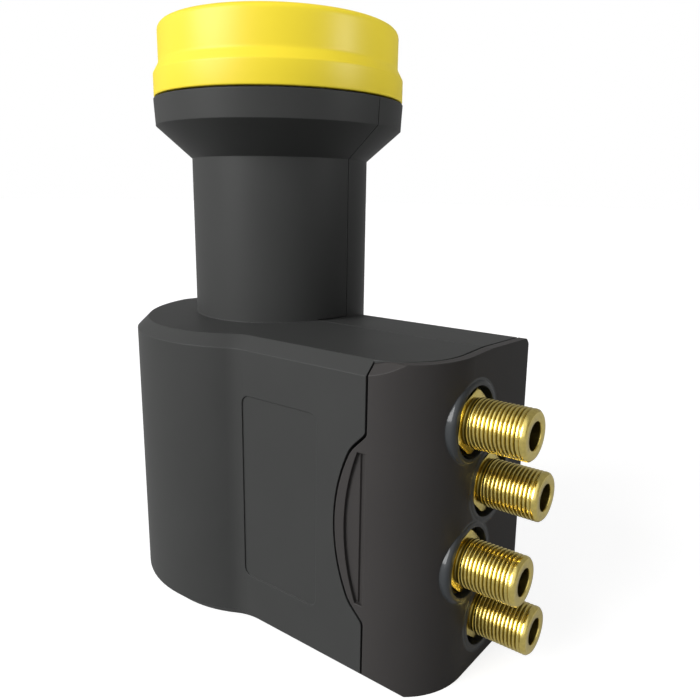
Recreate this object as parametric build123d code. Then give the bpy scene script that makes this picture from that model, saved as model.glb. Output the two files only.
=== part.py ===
"""Quad satellite LNB: a feed horn under a yellow radome cap, a neck for a 40 mm clamp, a two-part
plastic housing, and a sliding weather cover through which four F connectors point sideways.

Millimetres. The Z axis is the axis of the horn and the neck, and z = 0 is the shoulder, the top of
the housing that the neck rises from. +X points towards the connectors, and -Y is the side with the
plain label field."""
from build123d import *
from math import cos, hypot, pi, radians, sqrt, tan
import os

os.makedirs("parts", exist_ok=True)

# Neck, flare and ring
NECK_D = 40.0
NECK_LENGTH = 34.3
FLARE_HEIGHT = 6.7
RING_D = 55.2
RING_DRAFT = 0.3
RING_WALL = 3.2
RING_HEIGHT = 5.5
RING_LAND = 1.9
SHELL_WALL = 2.0
SEAM_GAP = 0.2
BODY_SEAM_Y = -7.9
FOOT_GAP = 0.15

# Housing, seen from above
BODY_HEIGHT = 64.4
NEAR_Y = -29.3
FAR_Y = 9.7
NOSE_R = 29.0
NOSE_X = -1.0
NOSE_Y = -5.0
NOSE_BLEND_R = 8.0
BACK_CORNER_R = 8.0
EDGE_CHAMFER = 3.15
TOP_DRAFT_DEG = 2.0

# Weather cover
COVER_END_X = 60.2
COVER_LEAN_DEG = 0.45
COVER_CORNER_R = 14.5
COVER_FAR_CORNER_R = 2.0
COVER_SIDE_LENGTH = 12.5
COVER_WALL = 1.8
COVER_GAP = 0.4
TONGUE_REACH = 6.9
TONGUE_ROOT_HALF = 18.2
TONGUE_SHOULDER = 3.3
TONGUE_ROOT_R = 1.8
TONGUE_SHOULDER_R = 7.0
THUMB_WIDTH = 4.8
THUMB_HALF = 14.9
THUMB_SHOULDER = 2.0
THUMB_STEP = 0.6
THUMB_FLOOR = 0.75
THUMB_DEPTH = 1.15
THUMB_SLOPE = 1.6
THUMB_CREASE = 0.15
ARM_HEIGHT = 8.0
ARM_THICKNESS = 1.5
ARM_GAP = 0.35
COVER_TRAVEL = 17.7
HOOK_LENGTH = 2.5
HOOK_TIP_GAP = 0.5
JOG_SETBACK = 9.2
JOG_REST_GAP = 0.3
SIDE_OVERLAP = 3.3

# Label field, left bare
LABEL_X = 26.4
LABEL_WIDTH = 19.6
LABEL_HEIGHT = 39.6
LABEL_CORNER_R = 1.8
LABEL_DEPTH = 0.25

# Connectors
CONNECTOR_SHIFT = 0.1
CONNECTOR_STAGGER = 3.55
CONNECTOR_TOP_GAP = 12.7
CONNECTOR_BOTTOM_GAP = 10.15
CONNECTOR_COUNT = 4
THREAD_D = 9.4
THREAD_LENGTH = 11.6
HEX_FLATS = 11.0
HEX_LENGTH = 4.6
HEX_TURN = 10
HEX_CORNER_CUT = 0.4
TIP_CHAMFER = 0.6
SOCKET_BORE_D = 5.2
SOCKET_DEPTH = 6.5
INSULATOR_D = 6.6
CONTACT_D = 2.2
CONTACT_BORE_D = 1.1
CONTACT_BORE_DEPTH = 5.0
CONTACT_PIN_D = 1.0
SEAL_THICKNESS = 0.8
SEAL_D = 11.6
CONNECTOR_FIT = 0.05
HOLE_D = 13.6
COLLAR_D = 16.4
COLLAR_PROUD = 0.15
COLLAR_EDGE = 1.0

# Horn casting
GUIDE_BORE_D = 19.2
GUIDE_WALL = 2.4
GUIDE_BOTTOM_GAP = 10.4
GUIDE_END_WALL = 2.5
THROAT_DROP = 12.0
MOUTH_CLEARANCE = 1.8
MOUTH_DEPTH = 14.5
HORN_WALL = 1.8
CORRUGATION_DEPTH = 9.0
CORRUGATION_WIDTH = 1.75
CORRUGATION_WALL = 1.2
RIM_WALL = 2.0
HORN_SEAT_GAP = 0.3

# Chassis tray, part of the casting
TRAY_LEFT_X = -14.0
TRAY_END_GAP = 8.8
TRAY_END_WALL = 3.2
TRAY_TOP_GAP = 4.0
TRAY_BOTTOM_GAP = 4.4
TRAY_WALL = 3.6
TRAY_NEAR_GAP = 8.3
TRAY_FLOOR = 2.2
TRAY_BITE = 0.6
TRAY_FAR_GAP = 8.1
FAR_TRAY_X = 14.0
LID_THICKNESS = 1.2
BAY_LENGTH = 8.4
BOARD_BOSS_D = 4.0
RIB_WALL = 1.4
RIB_LOW_Z = 2.0
RIB_HIGH_Z = 12.0
RIB_COUNT = 6
PAD_D = 4.0

# Boards and what they carry
BOARD_THICKNESS = 1.0
BOARD_GAP = 0.3
RF_BOARD_LIFT = 2.6
IF_BOARD_LIFT = 3.8
PROBE_D = 1.27
PROBE_REACH = 6.4
PROBE_LIFT = (24.0, 15.0)
BUSH_D = 4.1
ROD_D = 2.0
ROD_LIFT = 19.5
LINK_PIN_D = 0.8
BOARD_CORNER = 1.0
AMPLIFIER_CHIP = (2.0, 2.0, 0.9)
AMPLIFIER_OFFSETS = (4.0, -3.2)
MIXER_CHIP = (6.0, 6.0, 1.0)
MIXER_X = (14.0, 27.0)
MIXER_SPREAD = 10.0
CRYSTAL = (5.0, 3.2, 1.2)
SWITCH_CHIP = (7.0, 7.0, 1.2)
SWITCH_CHIP_SPREAD = 12.0
REGULATOR = (6.5, 6.0, 2.3)
REGULATOR_OFFSET = 4.5
CAPACITOR_D = 5.0
CAPACITOR_HEIGHT = 5.8
CAPACITOR_SPREAD = 8.0

# Cap and its seal
CAP_GAP = 0.4
CAP_OVERHANG = 0.15
CAP_BAND_HEIGHT = 4.8
CAP_STEP_HEIGHT = 2.2
CAP_STEP = 1.2
CAP_DRUM_HEIGHT = 8.1
CAP_WALL = 1.7
CAP_EDGE_R = 1.4
CAP_INNER_R = 0.6
CAP_BEAD = 0.7
CAP_BEAD_HEIGHT = 1.2
BEAD_GROOVE_GAP = 0.2
CAP_BEAD_LIFT = 0.8
CAP_SEAL_D = 2.4
CAP_SEAL_LIFT = 2.7
GROOVE_GAP = 0.05

# Screws
SCREW_D = 3.0
SCREW_HEAD_D = 5.6
SCREW_HEAD_HEIGHT = 1.9
SCREW_CLEARANCE = 0.2
SHELL_SCREW_X = -21.5
SHELL_SCREW_SPREAD = 13.5
SHELL_SCREW_SINK = 2.7
SHELL_SCREW_LENGTH = 21.0
SHELL_BOSS_D = 6.4
LID_SCREW_D = 2.0
LID_SCREW_HEAD_D = 3.4
LID_SCREW_HEAD_HEIGHT = 0.9
LID_SCREW_LENGTH = 5.0

# What follows from the sizes above
RING_TOP_D = RING_D + 2 * RING_DRAFT
RING_LOW_Z = NECK_LENGTH + FLARE_HEIGHT
RING_TOP_Z = RING_LOW_Z + RING_HEIGHT
MID_Z = -BODY_HEIGHT / 2
COVER_EDGE_X = COVER_END_X - COVER_SIDE_LENGTH
JOG_X = COVER_EDGE_X - JOG_SETBACK
PLATE_ONLY_X = COVER_EDGE_X + SIDE_OVERLAP
CAP_BAND_D = RING_D + 2 * CAP_OVERHANG
CAP_D = CAP_BAND_D - 2 * CAP_STEP
CAP_DRUM_Z = RING_TOP_Z + CAP_GAP + CAP_BAND_HEIGHT + CAP_STEP_HEIGHT
CAP_TOP_Z = CAP_DRUM_Z + CAP_DRUM_HEIGHT
CAP_BEAD_Z = CAP_DRUM_Z + CAP_BEAD_LIFT
MOUTH_D = RING_D - 2 * RING_WALL
MOUTH_Z = CAP_TOP_Z - CAP_WALL - MOUTH_CLEARANCE
MOUTH_FLOOR_Z = MOUTH_Z - MOUTH_DEPTH
THROAT_Z = NECK_LENGTH - THROAT_DROP
GUIDE_SHORT_Z = GUIDE_BOTTOM_GAP - BODY_HEIGHT
PROBE_Z = tuple(GUIDE_SHORT_Z + lift for lift in PROBE_LIFT)
ROD_Z = GUIDE_SHORT_Z + ROD_LIFT
TRAY_WALL_X = COVER_END_X - TRAY_END_GAP
TRAY_TOP_Z = -TRAY_TOP_GAP
TRAY_BOTTOM_Z = TRAY_BOTTOM_GAP - BODY_HEIGHT
TRAY_NEAR_Y = NEAR_Y + TRAY_NEAR_GAP
TRAY_FLOOR_Y = TRAY_BITE - TRAY_FLOOR - GUIDE_WALL - GUIDE_BORE_D / 2
TRAY_FAR_Y = FAR_Y - TRAY_FAR_GAP
BAY_X = TRAY_WALL_X - BAY_LENGTH
RF_BOARD_Y = TRAY_FLOOR_Y - RF_BOARD_LIFT
IF_BOARD_Y = TRAY_FAR_Y - IF_BOARD_LIFT
MIXER_Z = (MID_Z + MIXER_SPREAD, MID_Z - MIXER_SPREAD)
SWITCH_CHIP_Z = (MID_Z + SWITCH_CHIP_SPREAD, MID_Z - SWITCH_CHIP_SPREAD)
CAPACITOR_Z = (MID_Z + CAPACITOR_SPREAD, MID_Z, MID_Z - CAPACITOR_SPREAD)
SHELL_SCREW_Z = (MID_Z + SHELL_SCREW_SPREAD, MID_Z - SHELL_SCREW_SPREAD)
SHELL_SCREW_HEAD_Y = FAR_Y - SHELL_SCREW_SINK
CONNECTOR_Y = (NEAR_Y + FAR_Y) / 2 + CONNECTOR_SHIFT
CONNECTOR_PITCH = (BODY_HEIGHT - CONNECTOR_TOP_GAP - CONNECTOR_BOTTOM_GAP) / (CONNECTOR_COUNT - 1)
HEX_FRONT_X = TRAY_WALL_X + TRAY_END_WALL + SEAL_THICKNESS + HEX_LENGTH
CONNECTOR_TIP_X = HEX_FRONT_X + THREAD_LENGTH
FAR_AWAY = 200.0
OVERRUN = 1.0
TOUCH = 0.01


def block(x0, x1, y0, y1, z0, z1):
    """A box between two corners."""
    return Pos((x0 + x1) / 2, (y0 + y1) / 2, (z0 + z1) / 2) * Box(x1 - x0, y1 - y0, z1 - z0)


def turned(points):
    """A solid turned about Z from (radius, height) points of its closed section."""
    return revolve(Plane.XZ * make_face(Polyline(*points, close=True)), Axis.Z)


def rod_x(diameter, x0, x1, y, z):
    """A round rod along X."""
    return Pos((x0 + x1) / 2, y, z) * Rot(0, 90, 0) * Cylinder(diameter / 2, abs(x1 - x0))


def rod_y(diameter, y0, y1, x, z):
    """A round rod along Y."""
    return Pos(x, (y0 + y1) / 2, z) * Rot(90, 0, 0) * Cylinder(diameter / 2, abs(y1 - y0))


def rod_z(diameter, z0, z1, x=0.0, y=0.0):
    """A round rod along Z."""
    return Pos(x, y, (z0 + z1) / 2) * Cylinder(diameter / 2, abs(z1 - z0))


def rounded_plan(inset):
    """The housing from above, the nose joined to the long straight body, moved in by inset."""
    nose = Pos(NOSE_X, NOSE_Y) * Circle(NOSE_R - inset)
    limit = Pos(0, FAR_Y - inset - FAR_AWAY / 2) * Rectangle(FAR_AWAY, FAR_AWAY)
    near, far = NEAR_Y + inset, FAR_Y - inset
    run = Pos(FAR_AWAY / 4, (near + far) / 2) * Rectangle(FAR_AWAY / 2, far - near)
    plan = (nose & limit) + run
    corner = [v for v in plan.vertices() if abs(v.Y - far) < TOUCH and v.X < 0]
    plan = fillet(corner, BACK_CORNER_R - inset)
    blend = [v for v in plan.vertices() if abs(v.Y - near) < TOUCH and 0 < v.X < FAR_AWAY / 4]
    return fillet(blend, NOSE_BLEND_R + inset)


def housing_block(inset):
    """The housing's outer form moved in by inset: chamfered edges, and a top that falls away from
    the seam to both sides."""
    top, bottom = -inset, inset - BODY_HEIGHT
    form = Pos(0, 0, bottom) * extrude(rounded_plan(inset), top - bottom)
    chamfer_size = EDGE_CHAMFER - (2 - sqrt(2)) * inset
    rims = form.edges().filter_by_position(Axis.Z, top - TOUCH, top + TOUCH)
    rims += form.edges().filter_by_position(Axis.Z, bottom - TOUCH, bottom + TOUCH)
    rims = [e for e in rims if e.bounding_box().min.X < FAR_AWAY / 4]
    form = chamfer(rims, chamfer_size)
    rise = FAR_AWAY * tan(radians(TOP_DRAFT_DEG))
    gable = Polyline(
        (BODY_SEAM_Y, top), (BODY_SEAM_Y + FAR_AWAY, top - rise), (BODY_SEAM_Y + FAR_AWAY, -FAR_AWAY),
        (BODY_SEAM_Y - FAR_AWAY, -FAR_AWAY), (BODY_SEAM_Y - FAR_AWAY, top - rise), close=True)
    return form & extrude(Plane.YZ * make_face(gable), FAR_AWAY, both=True)


def end_plan(inset):
    """The end of the housing from above: straight sides and the two rounded corners."""
    x1 = COVER_END_X - inset
    near, far = NEAR_Y + inset, FAR_Y - inset
    plan = Pos(x1 - FAR_AWAY / 2, (near + far) / 2) * Rectangle(FAR_AWAY, far - near)
    ends = plan.vertices().group_by(Axis.X)[-1].sort_by(Axis.Y)
    plan = fillet(ends[0], COVER_CORNER_R - inset)
    far_corner = plan.vertices().group_by(Axis.X)[-1].sort_by(Axis.Y)[-1]
    return fillet(far_corner, max(COVER_FAR_CORNER_R - inset, COVER_GAP))


def end_prism(inset):
    """The end's plan as a tall prism that leans out towards the bottom."""
    upright = Pos(-COVER_END_X, 0, -FAR_AWAY / 2) * extrude(end_plan(inset), FAR_AWAY)
    return Pos(COVER_END_X, 0, 0) * Rot(0, -COVER_LEAN_DEG, 0) * upright


def end_x(z):
    """Where the face of the leaning end wall is at a height."""
    return COVER_END_X - z * tan(radians(COVER_LEAN_DEG))


def tongue_face(grow=0.0):
    """The cover's side tongue in the XZ plane: sloped shoulders and a bowed front with rounded
    corners, made larger all round by grow, with its root beyond the cover's edge."""
    root = TONGUE_ROOT_HALF + grow
    edge_x = COVER_EDGE_X - grow
    shoulder_x = edge_x - TONGUE_SHOULDER
    shoulder = root - TONGUE_SHOULDER
    tip_x = edge_x - TONGUE_REACH
    right = COVER_EDGE_X + COVER_CORNER_R
    outline = [
        Polyline((shoulder_x, shoulder), (edge_x, root), (edge_x, root + OVERRUN),
                 (right, root + OVERRUN), (right, -root - OVERRUN), (edge_x, -root - OVERRUN),
                 (edge_x, -root), (shoulder_x, -shoulder)),
        ThreePointArc((shoulder_x, -shoulder), (tip_x, 0), (shoulder_x, shoulder)),
    ]
    face = Sketch() + make_face(outline)
    roots = [v for v in face.vertices() if abs(v.X - edge_x) < TOUCH and abs(abs(v.Y) - root) < TOUCH]
    face = fillet(roots, TONGUE_ROOT_R - grow)
    shoulders = [v for v in face.vertices() if abs(v.X - shoulder_x) < TOUCH]
    return Plane.XZ * Pos(0, MID_Z) * fillet(shoulders, TONGUE_SHOULDER_R + grow)


def neck_profile(inset):
    """Half section of neck, flare and ring about Z, moved in by inset, from the shoulder up."""
    neck = NECK_D / 2 - inset
    slope = hypot(FLARE_HEIGHT, RING_D / 2 - NECK_D / 2)
    shift = inset * (slope - (RING_D / 2 - NECK_D / 2)) / FLARE_HEIGHT
    foot = -SHELL_WALL if inset else 0
    top = RING_TOP_Z if inset == 0 else RING_TOP_Z - RING_LAND
    return [(0, foot), (neck, foot), (neck, NECK_LENGTH + shift), (RING_D / 2 - inset, RING_LOW_Z + shift),
            (RING_TOP_D / 2 - inset, top), (0, top)]


def housing():
    """Both shells as one closed form: outer shape less the space inside, open at the cover end."""
    behind_cover = end_prism(COVER_WALL + COVER_GAP)
    whole_width = block(-FAR_AWAY, COVER_EDGE_X - COVER_GAP, -FAR_AWAY, FAR_AWAY, -FAR_AWAY, FAR_AWAY)
    outer = housing_block(0)
    tongues = extrude(tongue_face(COVER_GAP), FAR_AWAY, both=True)
    outer = (outer & whole_width) - tongues + (outer & behind_cover)
    bulge = rod_z(NECK_D, -BODY_HEIGHT, 0)
    bulge = chamfer(bulge.edges().sort_by(Axis.Z)[0], EDGE_CHAMFER)
    outer = outer + bulge + turned(neck_profile(0))

    jog = SHELL_WALL + COVER_WALL + COVER_GAP
    room = housing_block(SHELL_WALL) & block(
        -FAR_AWAY, JOG_X, -FAR_AWAY, FAR_AWAY, -FAR_AWAY, FAR_AWAY)
    end_room = block(JOG_X - OVERRUN, FAR_AWAY, NEAR_Y + jog, FAR_Y - jog,
                     SHELL_WALL - BODY_HEIGHT, -SHELL_WALL)
    open_end = block(PLATE_ONLY_X, FAR_AWAY, NEAR_Y, FAR_Y, SHELL_WALL - BODY_HEIGHT, -SHELL_WALL)
    room = room + (end_room & housing_block(SHELL_WALL)) + open_end
    bulge_room = rod_z(NECK_D - 2 * SHELL_WALL, SHELL_WALL - BODY_HEIGHT, 0)
    neck_room = turned(neck_profile(SHELL_WALL))
    ring_room = turned([(0, RING_LOW_Z), (MOUTH_D / 2 + HORN_SEAT_GAP, RING_LOW_Z),
                        (MOUTH_D / 2 + HORN_SEAT_GAP, RING_TOP_Z), (0, RING_TOP_Z)])
    room = room + bulge_room + neck_room + ring_room
    label = Pos(LABEL_X, 0, MID_Z) * Rot(90, 0, 0) * extrude(
        fillet(Rectangle(LABEL_WIDTH, LABEL_HEIGHT).vertices(), LABEL_CORNER_R), FAR_AWAY)
    label = label & block(0, FAR_AWAY, -FAR_AWAY, NEAR_Y + LABEL_DEPTH, -FAR_AWAY, 0)
    return outer - room - label


def split_shells(form):
    """The near and far halves: parted at the middle of the neck, and at the housing's own seam
    below the shoulder, where the near half of the neck stands on the far half's top."""
    half = SEAM_GAP / 2
    near = block(-FAR_AWAY, FAR_AWAY, -FAR_AWAY, BODY_SEAM_Y - half, -FAR_AWAY, FAR_AWAY)
    near += block(-FAR_AWAY, FAR_AWAY, -FAR_AWAY, -half, FOOT_GAP, FAR_AWAY)
    far = block(-FAR_AWAY, FAR_AWAY, half, FAR_AWAY, -FAR_AWAY, FAR_AWAY)
    far += block(-FAR_AWAY, FAR_AWAY, BODY_SEAM_Y + half, FAR_AWAY, -FAR_AWAY, 0)
    return form & near, form & far


def centring_ribs():
    """Upright ribs inside the neck that hold the round waveguide in the middle."""
    inner = GUIDE_BORE_D / 2 + GUIDE_WALL + HORN_SEAT_GAP
    outer = NECK_D / 2 - SHELL_WALL / 2
    rib = block(inner, outer, -RIB_WALL / 2, RIB_WALL / 2, RIB_LOW_Z, RIB_HIGH_Z)
    turn = 360 / RIB_COUNT
    return [Rot(0, 0, turn * (i + 0.5)) * rib for i in range(RIB_COUNT)]


def pad_places():
    """Where the shells' inner pads meet the lids, clear of the cover's arms."""
    pad_z = (TRAY_TOP_Z - TRAY_WALL - PAD_D, TRAY_BOTTOM_Z + TRAY_WALL + PAD_D)
    return [(x, z) for x in (FAR_TRAY_X + PAD_D, JOG_X - PAD_D) for z in pad_z]


def shells():
    near, far = split_shells(housing())
    for rib in centring_ribs():
        if rib.center().Y < 0:
            near += rib
        else:
            far += rib
    near_lid_face = TRAY_NEAR_Y - LID_THICKNESS - BOARD_GAP
    far_lid_face = TRAY_FAR_Y + LID_THICKNESS + BOARD_GAP
    for x, z in pad_places():
        near += rod_y(PAD_D, NEAR_Y + SHELL_WALL / 2, near_lid_face, x, z)
        far += rod_y(PAD_D, far_lid_face, FAR_Y - SHELL_WALL / 2, x, z)
    half = SEAM_GAP / 2
    inside = housing_block(SHELL_WALL / 2)
    for z in SHELL_SCREW_Z:
        x = SHELL_SCREW_X
        near += rod_y(SHELL_BOSS_D, NEAR_Y - NOSE_R, BODY_SEAM_Y - half, x, z) & inside
        far += rod_y(SHELL_BOSS_D, BODY_SEAM_Y + half, FAR_Y, x, z) & inside
        tip_y = SHELL_SCREW_HEAD_Y - SHELL_SCREW_LENGTH - SCREW_CLEARANCE
        near -= rod_y(SCREW_D + 2 * CONNECTOR_FIT, tip_y, 0, x, z)
        far -= rod_y(SCREW_D + 2 * SCREW_CLEARANCE, -NOSE_R, NOSE_R, x, z)
        far -= rod_y(SCREW_HEAD_D + 2 * SCREW_CLEARANCE, SHELL_SCREW_HEAD_Y, NOSE_R, x, z)
    return near, far


def weather_cover():
    """The sliding cover: end wall and side walls around the end of the housing, a tongue with a
    thumb scoop on each side, a collared hole for each connector, and two hooked arms inside."""
    keep = block(COVER_EDGE_X, FAR_AWAY, -FAR_AWAY, FAR_AWAY, -FAR_AWAY, FAR_AWAY)
    keep += extrude(tongue_face(), FAR_AWAY, both=True)
    inside = end_prism(COVER_WALL)
    cover = ((housing_block(0) & end_prism(0)) - inside) & keep
    arm_y = NEAR_Y + SHELL_WALL + COVER_WALL + COVER_GAP + ARM_GAP
    far_arm_y = FAR_Y - (arm_y - NEAR_Y)
    tip_x = JOG_X - JOG_REST_GAP - COVER_TRAVEL - HOOK_LENGTH
    low, high = MID_Z - ARM_HEIGHT / 2, MID_Z + ARM_HEIGHT / 2
    hook_y = NEAR_Y + SHELL_WALL + HOOK_TIP_GAP
    far_hook_y = FAR_Y - SHELL_WALL - HOOK_TIP_GAP
    arms = block(tip_x, COVER_END_X, arm_y, arm_y + ARM_THICKNESS, low, high)
    arms += block(tip_x, COVER_END_X, far_arm_y - ARM_THICKNESS, far_arm_y, low, high)
    arms += block(tip_x, tip_x + HOOK_LENGTH, hook_y, arm_y + ARM_THICKNESS, low, high)
    arms += block(tip_x, tip_x + HOOK_LENGTH, far_arm_y - ARM_THICKNESS, far_hook_y, low, high)
    cover += arms & end_prism(COVER_WALL / 2)
    for y, z in connector_places():
        collar = rod_x(COLLAR_D, COVER_EDGE_X, end_x(z) + COLLAR_PROUD, y, z)
        rim = collar.edges().filter_by(GeomType.CIRCLE).sort_by(Axis.X)[-1]
        cover += fillet(rim, COLLAR_EDGE) - inside
    for y, z in connector_places():
        cover -= rod_x(HOLE_D, COVER_EDGE_X, COVER_END_X + COVER_CORNER_R, y, z)
    scoop = thumb_scoop()
    return cover - scoop - scoop.mirror(Plane.XZ.offset(-(NEAR_Y + FAR_Y) / 2))


def thumb_scoop():
    """The cutter of the near thumb scoop: a bowed pocket with a step at the bow, a floor down to a
    straight crease, and a slope from there back up to the surface."""
    left_x = COVER_EDGE_X - THUMB_WIDTH
    bow_x = COVER_EDGE_X - THUMB_SHOULDER
    slope_x = COVER_EDGE_X - THUMB_SLOPE
    outline = [Polyline((bow_x, THUMB_HALF), (COVER_EDGE_X, THUMB_HALF), (COVER_EDGE_X, -THUMB_HALF),
                        (bow_x, -THUMB_HALF)),
               ThreePointArc((bow_x, -THUMB_HALF), (left_x, 0), (bow_x, THUMB_HALF))]
    plate = extrude(Plane.XZ * Pos(0, MID_Z) * make_face(outline), FAR_AWAY, both=True)
    section = Polyline((left_x - OVERRUN, NEAR_Y + THUMB_STEP),
                       (slope_x - THUMB_CREASE, NEAR_Y + THUMB_FLOOR), (slope_x, NEAR_Y + THUMB_DEPTH),
                       (COVER_EDGE_X, NEAR_Y), (COVER_EDGE_X, NEAR_Y - OVERRUN),
                       (left_x - OVERRUN, NEAR_Y - OVERRUN), close=True)
    return plate & (Pos(0, 0, -FAR_AWAY / 2) * extrude(make_face(section), FAR_AWAY))


def connector_places():
    """(y, z) of each connector's axis, from the top down, staggered about the middle of the end."""
    sides = [1 if i % 2 else -1 for i in range(CONNECTOR_COUNT)]
    return [(CONNECTOR_Y + side * CONNECTOR_STAGGER, -CONNECTOR_TOP_GAP - i * CONNECTOR_PITCH)
            for i, side in enumerate(sides)]


def horn_casting():
    """The die-cast metal body: scalar feed horn, round waveguide closed at its lower end, and the
    two-sided chassis with the wall that the connectors screw into."""
    bore, tube = GUIDE_BORE_D / 2, GUIDE_BORE_D / 2 + GUIDE_WALL
    rim = MOUTH_D / 2
    throat = rim - RIM_WALL - 2 * (CORRUGATION_WIDTH + CORRUGATION_WALL)
    bead_floor = rim - CAP_BEAD
    seal_low = cap_seal_z() - CAP_SEAL_D / 2 - GROOVE_GAP
    seal_high = cap_seal_z() + CAP_SEAL_D / 2 + GROOVE_GAP
    bead_low, bead_high = CAP_BEAD_Z - BEAD_GROOVE_GAP, CAP_BEAD_Z + CAP_BEAD_HEIGHT + BEAD_GROOVE_GAP
    seal_floor = cap_seal_r() - CAP_SEAL_D / 2 - GROOVE_GAP
    groove_z = MOUTH_Z - CORRUGATION_DEPTH
    ring_in = throat + CORRUGATION_WALL + CORRUGATION_WIDTH
    outline = [
        (0, GUIDE_SHORT_Z - GUIDE_END_WALL), (tube, GUIDE_SHORT_Z - GUIDE_END_WALL), (tube, THROAT_Z),
        (throat + HORN_WALL, MOUTH_FLOOR_Z - HORN_WALL), (rim, MOUTH_FLOOR_Z - HORN_WALL),
        (rim, seal_low), (seal_floor, seal_low), (seal_floor, seal_high), (rim, seal_high),
        (rim, bead_low), (bead_floor, bead_low), (bead_floor, bead_high), (rim, bead_high),
        (rim, MOUTH_Z), (rim - RIM_WALL, MOUTH_Z), (rim - RIM_WALL, groove_z),
        (ring_in + CORRUGATION_WALL, groove_z), (ring_in + CORRUGATION_WALL, MOUTH_Z - CORRUGATION_WALL),
        (ring_in, MOUTH_Z - CORRUGATION_WALL), (ring_in, groove_z),
        (throat + CORRUGATION_WALL, groove_z), (throat + CORRUGATION_WALL, MOUTH_Z - CORRUGATION_WIDTH),
        (throat, MOUTH_Z - CORRUGATION_WIDTH), (throat, MOUTH_FLOOR_Z), (bore, THROAT_Z),
        (bore, GUIDE_SHORT_Z), (0, GUIDE_SHORT_Z),
    ]
    casting = turned(outline)
    guide_space = turned([(0, GUIDE_SHORT_Z), (bore, GUIDE_SHORT_Z), (bore, THROAT_Z), (0, THROAT_Z)])
    end_x = TRAY_WALL_X + TRAY_END_WALL
    back_y = TRAY_FLOOR_Y + TRAY_FLOOR
    tray = block(TRAY_LEFT_X, end_x, TRAY_NEAR_Y, back_y, TRAY_BOTTOM_Z, TRAY_TOP_Z)
    tray += block(FAR_TRAY_X, end_x, back_y, TRAY_FAR_Y, TRAY_BOTTOM_Z, TRAY_TOP_Z)
    low, high = TRAY_BOTTOM_Z + TRAY_WALL, TRAY_TOP_Z - TRAY_WALL
    tray -= block(TRAY_LEFT_X + TRAY_WALL, TRAY_WALL_X, TRAY_NEAR_Y, TRAY_FLOOR_Y, low, high)
    tray -= block(FAR_TRAY_X + TRAY_WALL, TRAY_WALL_X, back_y, TRAY_FAR_Y, low, high)
    tray -= block(BAY_X, TRAY_WALL_X, TRAY_FLOOR_Y, back_y, low, high)
    casting = casting + tray - guide_space
    for x, z in board_boss_places(TRAY_LEFT_X):
        casting += rod_y(BOARD_BOSS_D, RF_BOARD_Y + BOARD_THICKNESS / 2, TRAY_FLOOR_Y, x, z)
    for x, z in board_boss_places(FAR_TRAY_X):
        casting += rod_y(BOARD_BOSS_D, back_y, IF_BOARD_Y - BOARD_THICKNESS / 2, x, z)
    for y, z in connector_places():
        casting -= rod_x(THREAD_D + 2 * CONNECTOR_FIT, TRAY_WALL_X - OVERRUN, end_x + OVERRUN, y, z)
        casting -= rod_y(3 * LINK_PIN_D, TRAY_FLOOR_Y - OVERRUN, back_y + OVERRUN, link_pin_x(), z)
    for x, z in probe_places():
        casting -= rod_y(BUSH_D + 2 * GROOVE_GAP, TRAY_FLOOR_Y - OVERRUN, 0, x, z)
    casting -= rod_y(ROD_D + 2 * GROOVE_GAP, -tube, tube + OVERRUN, 0, ROD_Z)
    hole_d = LID_SCREW_D + 2 * GROOVE_GAP
    depth = LID_SCREW_LENGTH - LID_THICKNESS + SCREW_CLEARANCE
    for x, z in lid_screw_places(TRAY_LEFT_X):
        casting -= rod_y(hole_d, TRAY_NEAR_Y - OVERRUN, TRAY_NEAR_Y + depth, x, z)
    for x, z in lid_screw_places(FAR_TRAY_X):
        casting -= rod_y(hole_d, TRAY_FAR_Y - depth, TRAY_FAR_Y + OVERRUN, x, z)
    return casting


def board_boss_places(left_x):
    """(x, z) of the four bosses that a board in the tray starting at left_x lies on."""
    inset = TRAY_WALL + BOARD_BOSS_D / 2 + BOARD_GAP
    return [(x, z) for x in (left_x + inset, BAY_X - BOARD_BOSS_D / 2)
            for z in (TRAY_TOP_Z - inset, TRAY_BOTTOM_Z + inset)]


def lid_screw_places(left_x):
    """(x, z) of the screws round a lid: corners and the middle of the long sides."""
    inset = TRAY_WALL / 2
    right_x = TRAY_WALL_X + TRAY_END_WALL - inset
    return [(x, z) for x in (left_x + inset, (left_x + right_x) / 2, right_x)
            for z in (TRAY_TOP_Z - inset, TRAY_BOTTOM_Z + inset)]


def lid(left_x, y0):
    """A flat chassis lid with holes for its screws."""
    end_x = TRAY_WALL_X + TRAY_END_WALL
    plate = block(left_x, end_x, y0, y0 + LID_THICKNESS, TRAY_BOTTOM_Z, TRAY_TOP_Z)
    plate = fillet(plate.edges().filter_by(Axis.Y), TRAY_WALL / 2)
    for x, z in lid_screw_places(left_x):
        plate -= rod_y(LID_SCREW_D + SCREW_CLEARANCE, y0 - OVERRUN, y0 + LID_THICKNESS + OVERRUN, x, z)
    return plate


def small_screw(side):
    """A pan-head lid screw with its head's underside at y = 0, pointing to +Y for side 1."""
    slot = Box(LID_SCREW_HEAD_D, LID_SCREW_HEAD_HEIGHT, LID_SCREW_D / 4)
    screw = rod_y(LID_SCREW_D, 0, side * LID_SCREW_LENGTH, 0, 0)
    screw += rod_y(LID_SCREW_HEAD_D, -side * LID_SCREW_HEAD_HEIGHT, 0, 0, 0)
    return screw - Pos(0, -side * LID_SCREW_HEAD_HEIGHT, 0) * slot


def cap_seal_z():
    return RING_TOP_Z + CAP_GAP + CAP_SEAL_LIFT


def cap_seal_r():
    """Middle radius of the O-ring, pressed out against the cap's band."""
    return CAP_BAND_D / 2 - CAP_WALL - GROOVE_GAP - CAP_SEAL_D / 2


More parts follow.
